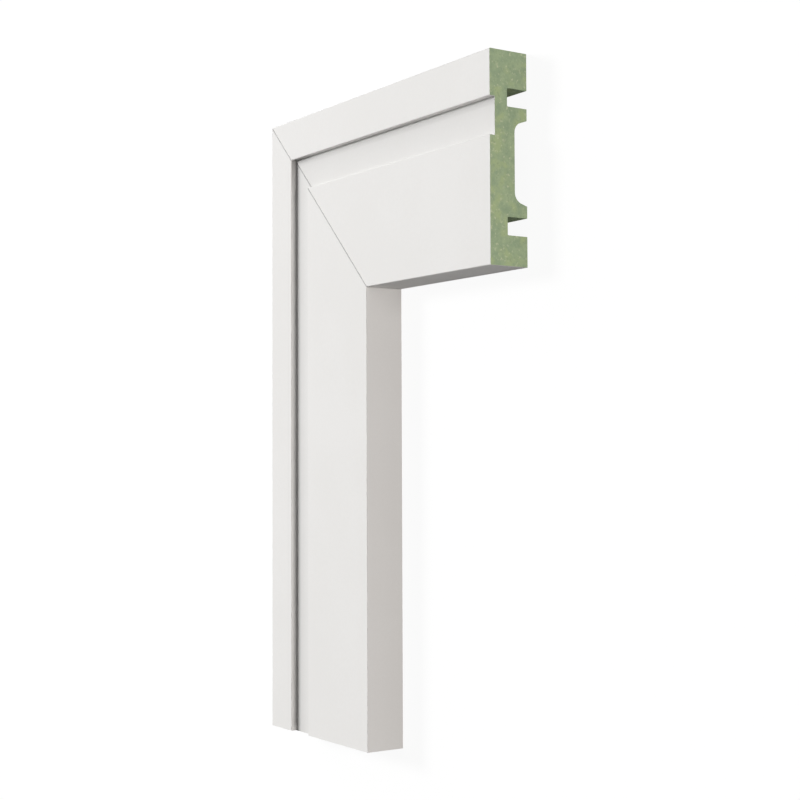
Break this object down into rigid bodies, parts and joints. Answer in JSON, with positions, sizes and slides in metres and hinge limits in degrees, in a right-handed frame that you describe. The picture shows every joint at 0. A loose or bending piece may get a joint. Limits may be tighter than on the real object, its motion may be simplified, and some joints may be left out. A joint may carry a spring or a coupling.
{
  "type": "architrave moulding corner",
  "caption": "Mitred corner of a coated fibreboard architrave: raised outer band, shallow rebate and flat panel on the face, clip slots and a relief in the back.",
  "frame": {"origin": "under the middle of the corner's bounding box, on the plane of the back that lies on the wall", "axes": "+Z out of the face, +Y from the leg's foot up to the head's outer edge, +X from the leg's outer edge towards the head's cut end"},
  "size_m": [0.144, 0.236, 0.015],
  "materials": {
    "white_coat": "satin white coat on the face and both edges",
    "green_core": "raw moisture resistant fibreboard, seen at the cut ends and the back"
  },
  "bodies": {
    "root": {"head_moulding": "white_coat", "leg_moulding": "white_coat"}
  },
  "joints": []
}
